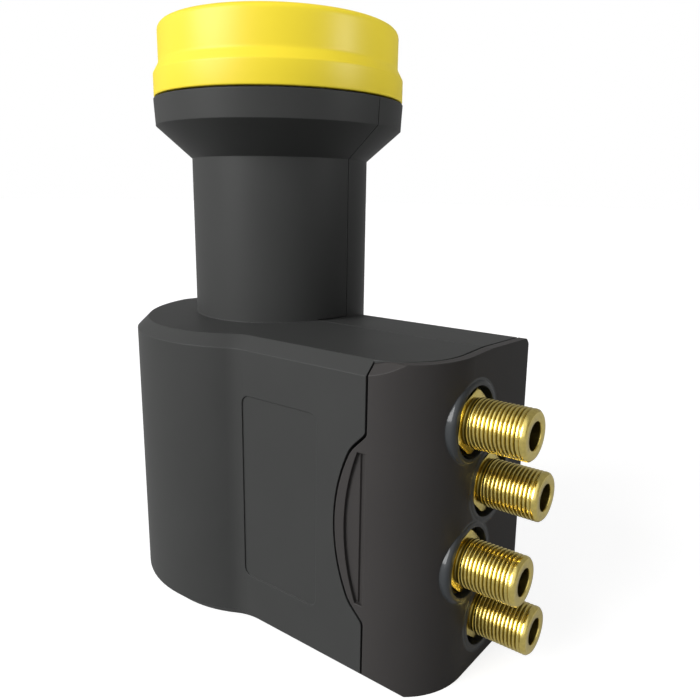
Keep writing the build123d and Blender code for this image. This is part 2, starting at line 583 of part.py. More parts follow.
def radome_cap():
    """The yellow cap: wider band, step, upper drum with a rounded edge, and a snap bead inside."""
    low = RING_TOP_Z + CAP_GAP
    band, drum = CAP_BAND_D / 2, CAP_D / 2
    band_top = low + CAP_BAND_HEIGHT
    inside_top = CAP_TOP_Z - CAP_WALL
    shell = turned([(0, low), (band, low), (band, band_top), (drum, band_top + CAP_STEP_HEIGHT),
                    (drum, CAP_TOP_Z), (0, CAP_TOP_Z)])
    shell = fillet(shell.edges().sort_by(Axis.Z)[-1], CAP_EDGE_R)
    room = turned([(0, low), (band - CAP_WALL, low), (band - CAP_WALL, band_top - CAP_WALL / 4),
                   (drum - CAP_WALL, band_top + CAP_STEP_HEIGHT - CAP_WALL / 4),
                   (drum - CAP_WALL, inside_top), (0, inside_top)])
    room = fillet(room.edges().sort_by(Axis.Z)[-1], CAP_INNER_R)
    inner = drum - CAP_WALL
    bead = turned([(inner + CAP_WALL / 2, CAP_BEAD_Z), (inner, CAP_BEAD_Z),
                   (inner - CAP_BEAD, CAP_BEAD_Z + CAP_BEAD_HEIGHT / 3),
                   (inner - CAP_BEAD, CAP_BEAD_Z + CAP_BEAD_HEIGHT * 2 / 3),
                   (inner, CAP_BEAD_Z + CAP_BEAD_HEIGHT),
                   (inner + CAP_WALL / 2, CAP_BEAD_Z + CAP_BEAD_HEIGHT)])
    return shell - room + bead


def hexagon_prism(x0, x1, y, z):
    """A hexagon along X, a corner near the top, its corners turned off to a slightly smaller circle."""
    corner_d = HEX_FLATS / cos(pi / 6)
    outline = Plane.YZ * RegularPolygon(corner_d / 2, 6, rotation=30 - HEX_TURN)
    prism = Pos(x0, y, z) * extrude(outline, x1 - x0)
    limit = rod_x(corner_d, x0, x1, y, z)
    limit = chamfer(limit.edges().filter_by(GeomType.CIRCLE), HEX_CORNER_CUT)
    return prism & limit


def connector_body(y, z):
    """Hexagon and plain barrel turned from one bar, bored for the insulator and the plug's pin."""
    back_x = HEX_FRONT_X - HEX_LENGTH
    body = rod_x(THREAD_D, TRAY_WALL_X, CONNECTOR_TIP_X, y, z)
    tip = body.edges().filter_by(GeomType.CIRCLE).sort_by(Axis.X)[-1]
    body = chamfer(tip, TIP_CHAMFER)
    body += hexagon_prism(back_x, HEX_FRONT_X, y, z)
    body -= rod_x(INSULATOR_D, TRAY_WALL_X - OVERRUN, CONNECTOR_TIP_X - SOCKET_DEPTH, y, z)
    return body - rod_x(SOCKET_BORE_D, TRAY_WALL_X - OVERRUN, CONNECTOR_TIP_X + OVERRUN, y, z)


def connector_insulator(y, z):
    """The plastic bush that fills the barrel behind the socket."""
    face_x = CONNECTOR_TIP_X - SOCKET_DEPTH - GROOVE_GAP
    bush = rod_x(INSULATOR_D - 2 * GROOVE_GAP, TRAY_WALL_X, face_x, y, z)
    return bush - rod_x(CONTACT_D + 2 * GROOVE_GAP, TRAY_WALL_X - OVERRUN, face_x + OVERRUN, y, z)


def connector_contact(y, z):
    """The spring socket for the cable's core, with a tail bent over to the switch board."""
    face_x = CONNECTOR_TIP_X - SOCKET_DEPTH - GROOVE_GAP
    tail_x = contact_tail_x()
    socket = rod_x(CONTACT_D, TRAY_WALL_X, face_x, y, z)
    socket -= rod_x(CONTACT_BORE_D, face_x - CONTACT_BORE_DEPTH, face_x + OVERRUN, y, z)
    socket += rod_x(CONTACT_PIN_D, tail_x, TRAY_WALL_X, y, z)
    socket += Pos(tail_x, y, z) * Sphere(CONTACT_PIN_D / 2)
    return socket + rod_y(CONTACT_PIN_D, y, IF_BOARD_Y - BOARD_THICKNESS / 2, tail_x, z)


def contact_tail_x():
    return (BAY_X + TRAY_WALL_X) / 2


def link_pin_x():
    return BAY_X - 2 * BOARD_BOSS_D


def connector_seal(y, z):
    """The rubber washer under the hexagon."""
    back_x = TRAY_WALL_X + TRAY_END_WALL
    washer = rod_x(SEAL_D, back_x, back_x + SEAL_THICKNESS, y, z)
    hole_d = THREAD_D + 2 * CONNECTOR_FIT
    return washer - rod_x(hole_d, back_x - OVERRUN, back_x + SEAL_THICKNESS + OVERRUN, y, z)


def probe_places():
    """(x, z) of the two probes: the first straight in, the second beside it and bent sideways."""
    return [(0.0, PROBE_Z[0]), (PROBE_REACH, PROBE_Z[1])]


def probe_pins():
    (x1, z1), (x2, z2) = probe_places()
    foot_y = RF_BOARD_Y + BOARD_THICKNESS / 2
    straight = rod_y(PROBE_D, foot_y, PROBE_REACH - GUIDE_BORE_D / 2, x1, z1)
    bent = rod_y(PROBE_D, foot_y, 0, x2, z2) + Pos(x2, 0, z2) * Sphere(PROBE_D / 2)
    return straight, bent + rod_x(PROBE_D, x2 - PROBE_REACH, x2, 0, z2)


def probe_bush(x, z):
    inner_y = -sqrt((GUIDE_BORE_D / 2) ** 2 - (abs(x) + BUSH_D / 2) ** 2)
    bush = rod_y(BUSH_D, TRAY_FLOOR_Y - OVERRUN, inner_y, x, z)
    return bush - rod_y(PROBE_D + 2 * GROOVE_GAP, TRAY_FLOOR_Y - 2 * OVERRUN, 0, x, z)


def board(left_x, y):
    """A circuit board lying on its bosses, clear of the tray's walls."""
    inset = TRAY_WALL + BOARD_GAP
    half = BOARD_THICKNESS / 2
    plate = block(left_x + inset, TRAY_WALL_X - BOARD_GAP, y - half, y + half,
                  TRAY_BOTTOM_Z + inset, TRAY_TOP_Z - inset)
    return chamfer(plate.edges().filter_by(Axis.Y), BOARD_CORNER)


def chip(x, z, face_y, size, side):
    """A moulded component on a board's face, standing out to -Y for side -1."""
    length, width, height = size
    return Pos(x, face_y + side * height / 2, z) * Box(length, height, width)


def board_chips():
    """What the boards carry: name to a list of moulded parts, cans and drums."""
    rf_face = RF_BOARD_Y - BOARD_THICKNESS / 2
    if_face = IF_BOARD_Y + BOARD_THICKNESS / 2
    bay_face = IF_BOARD_Y - BOARD_THICKNESS / 2
    places = connector_places()
    middle_x = (link_pin_x() + FAR_TRAY_X) / 2
    crystal_x = (MIXER_X[0] + MIXER_X[1]) / 2
    crystal_z = (MIXER_Z[0] + MIXER_Z[1]) / 2
    regulator_x = link_pin_x() + REGULATOR_OFFSET
    pin_foot_y = RF_BOARD_Y + BOARD_THICKNESS / 2
    return {
        "amplifier_chips": [chip(0, z + dz, rf_face, AMPLIFIER_CHIP, -1)
                            for z in PROBE_Z for dz in AMPLIFIER_OFFSETS],
        "mixer_chips": [chip(x, z, rf_face, MIXER_CHIP, -1) for x in MIXER_X for z in MIXER_Z],
        "oscillator_crystal": [chip(crystal_x, crystal_z, rf_face, CRYSTAL, -1)],
        "switch_chips": [chip(middle_x, z, if_face, SWITCH_CHIP, 1) for z in SWITCH_CHIP_Z],
        "voltage_regulator": [chip(regulator_x, MID_Z, if_face, REGULATOR, 1)],
        "capacitors": [rod_y(CAPACITOR_D, bay_face - CAPACITOR_HEIGHT, bay_face, middle_x, z)
                       for z in CAPACITOR_Z],
        "link_pins": [rod_y(LINK_PIN_D, pin_foot_y, bay_face, link_pin_x(), z) for _, z in places],
    }


def shell_screw(z):
    """A pan-head screw from the far side, with a cross recess in its head."""
    head_y = SHELL_SCREW_HEAD_Y
    screw = rod_y(SCREW_D, head_y - SHELL_SCREW_LENGTH, head_y, SHELL_SCREW_X, z)
    head = rod_y(SCREW_HEAD_D, head_y, head_y + SCREW_HEAD_HEIGHT, SHELL_SCREW_X, z)
    head = fillet(head.edges().sort_by(Axis.Y)[-1], SCREW_HEAD_HEIGHT / 3)
    slot = Pos(SHELL_SCREW_X, head_y + SCREW_HEAD_HEIGHT, z)
    cross = Box(SCREW_D, SCREW_HEAD_HEIGHT, SCREW_D / 4) + Box(SCREW_D / 4, SCREW_HEAD_HEIGHT, SCREW_D)
    return screw + head - slot * cross


def lid_screws(left_x, face_y, side):
    return [Pos(x, face_y, z) * small_screw(side) for x, z in lid_screw_places(left_x)]


near_shell, far_shell = shells()
straight_probe, bent_probe = probe_pins()
near_lid_y = TRAY_NEAR_Y - LID_THICKNESS
rod_end_y = (GUIDE_BORE_D + GUIDE_WALL) / 2
nodes = {
    "radome_cap": radome_cap(),
    "cap_seal": Pos(0, 0, cap_seal_z()) * Torus(cap_seal_r(), CAP_SEAL_D / 2),
    "near_shell": near_shell,
    "far_shell": far_shell,
    "shell_screws": [shell_screw(z) for z in SHELL_SCREW_Z],
    "weather_cover": weather_cover(),
    "horn_casting": horn_casting(),
    "near_lid": lid(TRAY_LEFT_X, near_lid_y),
    "far_lid": lid(FAR_TRAY_X, TRAY_FAR_Y),
    "near_lid_screws": lid_screws(TRAY_LEFT_X, near_lid_y, 1),
    "far_lid_screws": lid_screws(FAR_TRAY_X, TRAY_FAR_Y + LID_THICKNESS, -1),
    "rf_board": board(TRAY_LEFT_X, RF_BOARD_Y),
    "switch_board": board(FAR_TRAY_X, IF_BOARD_Y),
    "straight_probe": straight_probe,
    "bent_probe": bent_probe,
    "guide_rod": rod_y(ROD_D, -rod_end_y, rod_end_y, 0, ROD_Z),
    **board_chips(),
}
for number, (x, z) in enumerate(probe_places(), 1):
    nodes[f"probe_bush_{number}"] = probe_bush(x, z)
for number, (y, z) in enumerate(connector_places(), 1):
    nodes[f"connector_body_{number}"] = connector_body(y, z)
    nodes[f"connector_insulator_{number}"] = connector_insulator(y, z)
    nodes[f"connector_contact_{number}"] = connector_contact(y, z)
    nodes[f"connector_seal_{number}"] = connector_seal(y, z)

for name, made in nodes.items():
    solids = [s for piece in (made if isinstance(made, list) else [made]) for s in piece.solids()]
    export_step(solids[0] if len(solids) == 1 else Compound(children=solids), f"parts/{name}.step")
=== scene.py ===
"""Dresses the quad satellite LNB: moulded dark housing, yellow radome cap, and gold-plated threaded
connectors behind a sliding weather cover, on a plain pale floor.

Metres. Z is the axis of the horn and the neck, +X points to the connectors, and -Y is the side with
the bare label field."""

import bmesh
import bpy
import numpy as np
from bpy.props import FloatProperty, FloatVectorProperty, PointerProperty
from mathutils import Matrix, Vector


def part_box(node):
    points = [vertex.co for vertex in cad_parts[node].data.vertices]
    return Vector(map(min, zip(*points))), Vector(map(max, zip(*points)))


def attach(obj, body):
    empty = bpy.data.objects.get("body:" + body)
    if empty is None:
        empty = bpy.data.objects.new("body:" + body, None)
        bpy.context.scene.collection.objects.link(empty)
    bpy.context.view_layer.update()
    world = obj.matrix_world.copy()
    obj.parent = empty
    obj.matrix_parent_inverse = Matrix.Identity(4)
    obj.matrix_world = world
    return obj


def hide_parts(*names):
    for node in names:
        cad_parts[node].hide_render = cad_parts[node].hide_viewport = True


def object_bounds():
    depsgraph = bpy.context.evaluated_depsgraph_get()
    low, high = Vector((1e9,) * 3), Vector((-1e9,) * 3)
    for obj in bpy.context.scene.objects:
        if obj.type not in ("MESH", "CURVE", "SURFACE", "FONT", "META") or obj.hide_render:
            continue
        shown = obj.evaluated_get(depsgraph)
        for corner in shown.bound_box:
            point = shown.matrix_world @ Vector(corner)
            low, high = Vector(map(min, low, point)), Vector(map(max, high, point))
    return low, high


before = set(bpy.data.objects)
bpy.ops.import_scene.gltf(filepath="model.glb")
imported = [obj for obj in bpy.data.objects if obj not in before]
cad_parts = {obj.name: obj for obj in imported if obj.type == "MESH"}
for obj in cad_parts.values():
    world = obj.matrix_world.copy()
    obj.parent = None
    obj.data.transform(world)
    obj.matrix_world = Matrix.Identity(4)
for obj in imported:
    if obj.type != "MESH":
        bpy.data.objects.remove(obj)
bpy.context.view_layer.update()
cad_low, cad_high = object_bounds()

bl_info = {
    "name": "Satellite LNB dressing",
    "version": (1, 0, 0),
    "blender": (4, 5, 0),
    "location": "3D View > Sidebar > LNB",
    "description": "Builds the connectors and the cap, and finishes the mouldings of a quad LNB",
    "category": "Object",
}

MM = 0.001
CONNECTORS = [f"connector_body_{number}" for number in range(1, 5)]

# Edges of a new surface that turn by more than this stay sharp
SHARP_ANGLE = np.radians(38)

# Inputs and output of a Mix node that mixes colours
MIX_SHARE, MIX_FIRST, MIX_SECOND, MIX_RESULT = 0, 6, 7, 2

# Finishes of the parts inside. Metals: colour, roughness, pitch and height of the grain in mm, nodes.
INNER_METALS = {
    "zinc_plated_steel": ((0.62, 0.62, 0.6), 0.35, 0.2, 0.004,
                          ["shell_screws", "near_lid_screws", "far_lid_screws"]),
    "contact_bronze_drawn": ((0.78, 0.55, 0.28), 0.3, 0.1, 0.002,
                             [f"connector_contact_{n}" for n in range(1, 5)]),
    "cast_metal_plain": ((0.6, 0.6, 0.61), 0.5, 0.6, 0.02, ["horn_casting"]),
    "lid_sheet_plain": ((0.68, 0.69, 0.7), 0.38, 0.2, 0.004, ["near_lid", "far_lid"]),
    "plain_can": ((0.7, 0.7, 0.71), 0.3, 0.3, 0.003, ["oscillator_crystal", "capacitors"]),
    "drawn_brass": ((0.8, 0.58, 0.28), 0.3, 0.1, 0.002,
                    ["straight_probe", "bent_probe", "guide_rod", "link_pins"]),
}
# Plastics and rubber: colour, pitch, height and edge radius in mm, roughness, nodes.
INNER_PLASTICS = {
    "socket_plastic_brown": ((0.035, 0.026, 0.014), 0.3, 0.01, 0.1, 0.4,
                             [f"connector_insulator_{n}" for n in range(1, 5)]),
    "seal_rubber_black": ((0.02, 0.02, 0.02), 0.2, 0.01, 0.2, 0.7,
                          ["cap_seal"] + [f"connector_seal_{n}" for n in range(1, 5)]),
    "solder_mask_green": ((0.03, 0.16, 0.08), 0.8, 0.01, 0.1, 0.35, ["rf_board", "switch_board"]),
    "chip_plastic_black": ((0.02, 0.02, 0.021), 0.2, 0.01, 0.1, 0.55,
                           ["amplifier_chips", "mixer_chips", "switch_chips", "voltage_regulator"]),
    "bush_plastic_white": ((0.8, 0.8, 0.77), 0.5, 0.005, 0.1, 0.45, ["probe_bush_1", "probe_bush_2"]),
}


def colour_property(name, description, default):
    """A colour setting, in linear red, green and blue."""
    return FloatVectorProperty(name=name, description=description, subtype="COLOR", size=3,
                               min=0.0, max=1.0, default=default)


class PlasticSettings(bpy.types.PropertyGroup):
    """The finish of the dark mouldings."""

    shell_colour: colour_property("Shell colour", "Dark grey of the two shells", (0.044, 0.045, 0.044))
    cover_colour: colour_property("Cover colour", "Dark grey of the weather cover",
                                  (0.044, 0.041, 0.040))
    grain_pitch: FloatProperty(name="Grain pitch", description="Size of the moulded grain",
                               default=0.35 * MM, unit="LENGTH", precision=5)
    grain_height: FloatProperty(name="Grain height", description="Height of the moulded grain",
                                default=0.012 * MM, unit="LENGTH", precision=6)
    edge_radius: FloatProperty(name="Edge radius", description="Rounding of the moulded edges",
                               default=0.28 * MM, unit="LENGTH", precision=5)
    roughness: FloatProperty(name="Roughness", description="Roughness of the plastic", default=0.48,
                             subtype="FACTOR", min=0.0, max=1.0)
    gloss: FloatProperty(name="Gloss", description="Strength of the plastic's sheen", default=0.17,
                         subtype="FACTOR", min=0.0, max=1.0)
    collar_colour: colour_property("Collar colour", "Bluish grey of the collars", (0.040, 0.044, 0.047))
    collar_radius: FloatProperty(name="Collar radius", description="Reach of the collars' gloss",
                                 default=8.32 * MM, unit="LENGTH", precision=5)
    collar_gloss: FloatProperty(name="Collar gloss", description="Weight of the collars' glossy skin",
                                default=0.5, subtype="FACTOR", min=0.0, max=1.0)
    collar_shine: FloatProperty(name="Collar shine", description="Roughness of that glossy skin",
                                default=0.1, subtype="FACTOR", min=0.0, max=1.0)
    collar_edge: FloatProperty(name="Collar edge", description="Further rounding of the collars' edges",
                               default=0.1 * MM, unit="LENGTH", precision=5)


class CapSettings(bpy.types.PropertyGroup):
    """The yellow cap over the horn."""

    colour: colour_property("Cap colour", "Yellow of the cap", (0.96, 0.76, 0.035))
    band_diameter: FloatProperty(name="Band diameter", description="Diameter of the lower band",
                                 default=55.5 * MM, unit="LENGTH", precision=5)
    band_height: FloatProperty(name="Band height", description="Height of the lower band",
                               default=4.8 * MM, unit="LENGTH", precision=5)
    step_height: FloatProperty(name="Step height", description="Height of the slope to the drum",
                               default=2.2 * MM, unit="LENGTH", precision=5)
    drum_diameter: FloatProperty(name="Drum diameter", description="Diameter of the upper drum",
                                 default=53.1 * MM, unit="LENGTH", precision=5)
    wall: FloatProperty(name="Wall", description="Wall thickness", default=1.7 * MM, unit="LENGTH",
                        precision=5)
    top_radius: FloatProperty(name="Top edge radius", description="Rounding of the top edge",
                              default=1.5 * MM, unit="LENGTH", precision=5)
    step_radius: FloatProperty(name="Step radius", description="Rounding of the step",
                               default=1.6 * MM, unit="LENGTH", precision=5)


class ConnectorSettings(bpy.types.PropertyGroup):
    """The four threaded connectors."""

    thread_diameter: FloatProperty(name="Thread diameter", description="Over the thread's crests",
                                   default=9.4 * MM, unit="LENGTH", precision=5)
    thread_pitch: FloatProperty(name="Thread pitch", description="From crest to crest",
                                default=0.794 * MM, unit="LENGTH", precision=6)
    thread_depth: FloatProperty(name="Thread depth", description="From crest to root",
                                default=0.38 * MM, unit="LENGTH", precision=5)
    hex_flats: FloatProperty(name="Across flats", description="Hexagon across its flats",
                             default=11.0 * MM, unit="LENGTH", precision=5)
    hex_front: FloatProperty(name="Hexagon face", description="X of the hexagon's front face",
                             default=60.0 * MM, unit="LENGTH", precision=5)
    hex_length: FloatProperty(name="Hexagon length", description="Length of the hexagon",
                              default=4.6 * MM, unit="LENGTH", precision=5)
    hex_turns: FloatVectorProperty(name="Hexagon turns", description="How far each hexagon is turned",
                                   size=4, default=tuple(np.radians((9, 11, 13, 8))), unit="ROTATION")
    socket_bore: FloatProperty(name="Socket bore", description="Diameter of the open bore",
                               default=5.2 * MM, unit="LENGTH", precision=5)
    socket_depth: FloatProperty(name="Socket depth", description="Depth of the open bore",
                                default=6.5 * MM, unit="LENGTH", precision=5)
    insulator_bore: FloatProperty(name="Insulator bore", description="Diameter behind the socket",
                                  default=6.6 * MM, unit="LENGTH", precision=5)
    plating: colour_property("Plating colour", "Yellow of the plating", (0.93, 0.75, 0.23))
    # Painted shade: the brown that is mixed into the thread's roots and the bore.
    soil: colour_property("Root colour", "Brown of the roots and the bore", (0.15, 0.112, 0.018))


class StageSettings(bpy.types.PropertyGroup):
    """Camera, floor, lamps and studio."""

    camera_place: FloatVectorProperty(name="Camera place", description="Place of the camera", size=3,
                                      default=(0.113504, -0.119725, 0.026957), subtype="TRANSLATION")
    azimuth: FloatProperty(name="Azimuth", description="Turn of the camera about Z",
                           default=np.radians(37.628), subtype="ANGLE")
    elevation: FloatProperty(name="Elevation", description="Height angle of the camera",
                             default=np.radians(12.861), subtype="ANGLE")
    roll: FloatProperty(name="Roll", description="Roll of the camera", default=np.radians(0.8877),
                        subtype="ANGLE")
    focal_length: FloatProperty(name="Focal length", description="On a 36 mm wide sensor",
                                default=35.065, unit="CAMERA")
    floor_colour: colour_property("Floor colour", "Pale floor", (0.36, 0.36, 0.36))
    floor_glow: FloatProperty(name="Floor glow", description="Light that only the camera and gloss see",
                              default=0.83)
    glow_in_gloss: FloatProperty(name="Glow in gloss", description="Share of that light that gloss sees",
                                 default=0.15, subtype="FACTOR", min=0.0, max=1.0)
    lamp_angle: FloatProperty(name="Lamp size", description="Angle that each wide lamp fills",
                              default=0.68, subtype="ANGLE")
    key_strength: FloatProperty(name="Key lamp", description="Strength of the wide lamp at the left",
                                default=3.25)
    key_direction: FloatVectorProperty(name="Key direction", description="From the object to the lamp",
                                       size=3, default=(-0.3, -0.86, 0.42), subtype="DIRECTION")
    back_strength: FloatProperty(name="Back lamp", description="Strength of the wide lamp at the back",
                                 default=1.2)
    back_direction: FloatVectorProperty(name="Back direction", size=3, default=(-0.6, 0.78, 0.18),
                                        description="From the object to that lamp", subtype="DIRECTION")
    rim_power: FloatProperty(name="Rim lamp", description="Power of the small lamp that rims the cap",
                             default=0.01, unit="POWER")
    rim_size: FloatProperty(name="Rim size", description="Side of that lamp's square", default=0.08,
                            unit="LENGTH")
    rim_spread: FloatProperty(name="Rim spread", description="Angle of its beam",
                              default=np.radians(20), subtype="ANGLE")
    rim_place: FloatVectorProperty(name="Rim place", description="Place of that lamp", size=3,
                                   default=(0.25, 0.06, 0.13), subtype="TRANSLATION")
    rim_target: FloatVectorProperty(name="Rim target", description="Where it is aimed", size=3,
                                    default=(0.0, 0.0, 0.072), subtype="TRANSLATION")
    sky_strength: FloatProperty(name="Sky", description="Strength of the light from all round",
                                default=0.27)
    white_side: FloatVectorProperty(name="White side", description="Where gloss sees the studio white",
                                    size=3, default=(-0.15, -0.97, 0.1), subtype="DIRECTION")
    dim_side: FloatProperty(name="Dim side", default=0.1, subtype="FACTOR", min=0.0, max=1.0,
                            description="Brightness that gloss sees at the back, if above the sky's")


def new_group(name, inputs, outputs):
    """An empty shader group with sockets of (name, kind, default) in and (name, kind) out."""
    group = bpy.data.node_groups.new(name, "ShaderNodeTree")
    for socket, kind, default in inputs:
        made = group.interface.new_socket(socket, in_out="INPUT", socket_type=kind)
        made.default_value = default
    for socket, kind in outputs:
        group.interface.new_socket(socket, in_out="OUTPUT", socket_type=kind)
    return group, group.nodes.new("NodeGroupInput"), group.nodes.new("NodeGroupOutput")


def node(tree, kind, links=(), **values):
    """A node with attributes and inputs set by name, and (input, socket) links made to it."""
    made = tree.nodes.new(kind)
    for key, value in values.items():
        if hasattr(made, key):
            setattr(made, key, value)
        else:
            made.inputs[key.replace("_", " ")].default_value = value
    for key, socket in links:
        tree.links.new(socket, made.inputs[key])
    return made


def maths(tree, operation, first, second=0.0):
    """One maths node; either operand may be a socket or a number."""
    made = tree.nodes.new("ShaderNodeMath")
    made.operation = operation
    for index, operand in enumerate((first, second)):
        if isinstance(operand, (int, float)):
            made.inputs[index].default_value = operand
        else:
            tree.links.new(operand, made.inputs[index])
    return made.outputs[0]


def grain_group():
    """Moulded grain: the height of two noises, one at the pitch and one four times as coarse."""
    group, enter, leave = new_group(
        "moulded_grain",
        [("Pitch", "NodeSocketFloat", 0.0004), ("Height", "NodeSocketFloat", 0.00001)],
        [("Height", "NodeSocketFloat")])
    place = node(group, "ShaderNodeTexCoord")
    scale = maths(group, "DIVIDE", 1.0, enter.outputs["Pitch"])
    fine = node(group, "ShaderNodeTexNoise", [("Vector", place.outputs["Object"]), ("Scale", scale)],
                Detail=3.0, Roughness=0.6)
    slow = maths(group, "MULTIPLY", scale, 0.25)
    coarse = node(group, "ShaderNodeTexNoise", [("Vector", place.outputs["Object"]), ("Scale", slow)],
                  Detail=2.0)
    both = maths(group, "ADD", fine.outputs["Fac"], maths(group, "MULTIPLY", coarse.outputs["Fac"], 0.5))
    group.links.new(maths(group, "MULTIPLY", both, enter.outputs["Height"]), leave.inputs["Height"])
    return group


def drift_group():
    """Tone drift: a colour made a little lighter and darker in cloudy patches of the given size."""
    group, enter, leave = new_group(
        "tone_drift",
        [("Color", "NodeSocketColor", (0.5, 0.5, 0.5, 1)), ("Amount", "NodeSocketFloat", 0.05),
         ("Patch", "NodeSocketFloat", 0.01)],
        [("Color", "NodeSocketColor"), ("Mask", "NodeSocketFloat")])
    place = node(group, "ShaderNodeTexCoord")
    scale = maths(group, "DIVIDE", 1.0, enter.outputs["Patch"])
    cloud = node(group, "ShaderNodeTexNoise", [("Vector", place.outputs["Object"]), ("Scale", scale)],
                 Detail=4.0)
    swing = maths(group, "MULTIPLY", maths(group, "SUBTRACT", cloud.outputs["Fac"], 0.5),
                  enter.outputs["Amount"])
    tone = node(group, "ShaderNodeHueSaturation",
                [("Color", enter.outputs["Color"]), ("Value", maths(group, "ADD", swing, 1.0))])
    group.links.new(tone.outputs["Color"], leave.inputs["Color"])
    group.links.new(cloud.outputs["Fac"], leave.inputs["Mask"])
    return group


def edge_group():
    """Moulded edge: the normal of edges rounded to the radius, and a mask that grows to 1 as it departs
    from the surface's own: six times one less the cosine of the angle between them."""
    group, enter, leave = new_group(
        "moulded_edge", [("Radius", "NodeSocketFloat", 0.0003)],
        [("Normal", "NodeSocketVector"), ("Mask", "NodeSocketFloat")])
    rounded = group.nodes.new("ShaderNodeBevel")
    rounded.samples = 6
    group.links.new(enter.outputs["Radius"], rounded.inputs["Radius"])
    own = group.nodes.new("ShaderNodeNewGeometry")
    agree = group.nodes.new("ShaderNodeVectorMath")
    agree.operation = "DOT_PRODUCT"
    group.links.new(rounded.outputs["Normal"], agree.inputs[0])
    group.links.new(own.outputs["Normal"], agree.inputs[1])
    depart = maths(group, "MULTIPLY", maths(group, "SUBTRACT", 1.0, agree.outputs["Value"]), 6.0)
    clamp = group.nodes.new("ShaderNodeClamp")
    group.links.new(depart, clamp.inputs["Value"])
    group.links.new(rounded.outputs["Normal"], leave.inputs["Normal"])
    group.links.new(clamp.outputs["Result"], leave.inputs["Mask"])
    return group


def shared(name):
    """The named shader group, built the first time it is asked for."""
    makers = {"moulded_grain": grain_group, "tone_drift": drift_group, "moulded_edge": edge_group}
    return bpy.data.node_groups.get(name) or makers[name]()


def place_group(tree, name, links=(), **values):
    """A shared group in a material, with inputs set by name, and (input, socket) links made to it."""
    made = tree.nodes.new("ShaderNodeGroup")
    made.node_tree = shared(name)
    for key, value in values.items():
        made.inputs[key].default_value = value
    for key, socket in links:
        tree.links.new(socket, made.inputs[key])
    return made


def new_material(name, **shader):
    """A material with one Principled shader whose constants are set on its own sockets."""
    material = bpy.data.materials.new(name)
    material.use_nodes = True
    surface = material.node_tree.nodes["Principled BSDF"]
    for key, value in shader.items():
        surface.inputs[key.replace("_", " ")].default_value = value
    return material, material.node_tree, surface


def rgba(colour):
    """A colour as an opaque socket value."""
    return (*colour, 1.0)


def mix_colours(tree, share, first, second):
    """A mix, by a share that changes over the surface, of two colours or sockets."""
    made = tree.nodes.new("ShaderNodeMix")
    made.data_type = "RGBA"
    tree.links.new(share, made.inputs[MIX_SHARE])
    for index, colour in ((MIX_FIRST, first), (MIX_SECOND, second)):
        if isinstance(colour, bpy.types.NodeSocket):
            tree.links.new(colour, made.inputs[index])
        else:
            made.inputs[index].default_value = rgba(colour)
    return made.outputs[MIX_RESULT]


def raise_grain(tree, surface, pitch, height, links=()):
    """Bumps the shader's normal with the moulded grain."""
    grain = place_group(tree, "moulded_grain", Pitch=pitch, Height=height)
    bump = node(tree, "ShaderNodeBump", [("Height", grain.outputs["Height"]), *links],
                Distance=1.0, Strength=1.0)
    tree.links.new(bump.outputs["Normal"], surface.inputs["Normal"])


def cloudy_roughness(tree, surface, cloud, roughness, swing, added=()):
    """Feeds the shader's roughness with a middle value, swung by a cloud, plus any added sockets."""
    rough = maths(tree, "ADD", maths(tree, "MULTIPLY", cloud, swing), roughness - swing / 2)
    for more in added:
        rough = maths(tree, "ADD", rough, more)
    tree.links.new(rough, surface.inputs["Roughness"])


def moulded_plastic(name, colour, pitch, height, radius, roughness, drift=0.12, painted_edge_highlight=0.25,
                    gloss=0.4):
    """Satin moulded plastic: fine grain, faint tone drift, and rounded edges whose base colour is made
    lighter, a painted highlight.
    """
    material, tree, surface = new_material(name, IOR=1.5, Specular_IOR_Level=gloss)
    tone = place_group(tree, "tone_drift", Color=rgba(colour), Amount=drift, Patch=12 * MM)
    edge = place_group(tree, "moulded_edge", Radius=radius)
    # Painted highlight: the base colour is made lighter where the edge mask rises, along the rounded
    # edges.
    edge_lightened = node(tree, "ShaderNodeHueSaturation", [("Color", tone.outputs["Color"])],
                Value=1.0 + painted_edge_highlight)
    blend = mix_colours(tree, edge.outputs["Mask"], tone.outputs["Color"], edge_lightened.outputs["Color"])
    tree.links.new(blend, surface.inputs["Base Color"])
    raise_grain(tree, surface, pitch, height, [("Normal", edge.outputs["Normal"])])
    cloudy_roughness(tree, surface, tone.outputs["Mask"], roughness, swing=0.08)
    return material


def plated_metal(name, colour, roughness, pitch, height):
    """Plain or plated metal with a fine grain and a faint tone drift."""
    material, tree, surface = new_material(name, Metallic=1.0)
    tone = place_group(tree, "tone_drift", Color=rgba(colour), Amount=0.25, Patch=1.5 * MM)
    tree.links.new(tone.outputs["Color"], surface.inputs["Base Color"])
    raise_grain(tree, surface, pitch, height)
    cloudy_roughness(tree, surface, tone.outputs["Mask"], roughness, swing=0.16)
    return material


def gold_plating(look):
    """Bright yellow plating on turned brass. The piece's own attribute for the roots is near 1 in the
    thread's roots and in the bore, where the colour is mixed towards a brown as painted shade and the
    plating is made duller."""
    material, tree, surface = new_material("gold_plating", Metallic=1.0)
    tone = place_group(tree, "tone_drift", Color=rgba(look.plating), Amount=0.5, Patch=0.7 * MM)
    soil = node(tree, "ShaderNodeAttribute", attribute_name="soil").outputs["Fac"]
    # Painted shade: the plating is mixed towards the root colour in the thread's roots and in the bore.
    blend = mix_colours(tree, soil, tone.outputs["Color"], look.soil)
    tree.links.new(blend, surface.inputs["Base Color"])
    raise_grain(tree, surface, pitch=0.2 * MM, height=0.02 * MM)
    dull = maths(tree, "MULTIPLY", soil, 0.2)
    cloudy_roughness(tree, surface, tone.outputs["Mask"], roughness=0.18, swing=0.16, added=[dull])
    return material


def finish_nodes(material, names):
    """Puts a material on CAD nodes through their own slots."""
    for name in names:
        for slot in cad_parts[name].material_slots:
            slot.material = material


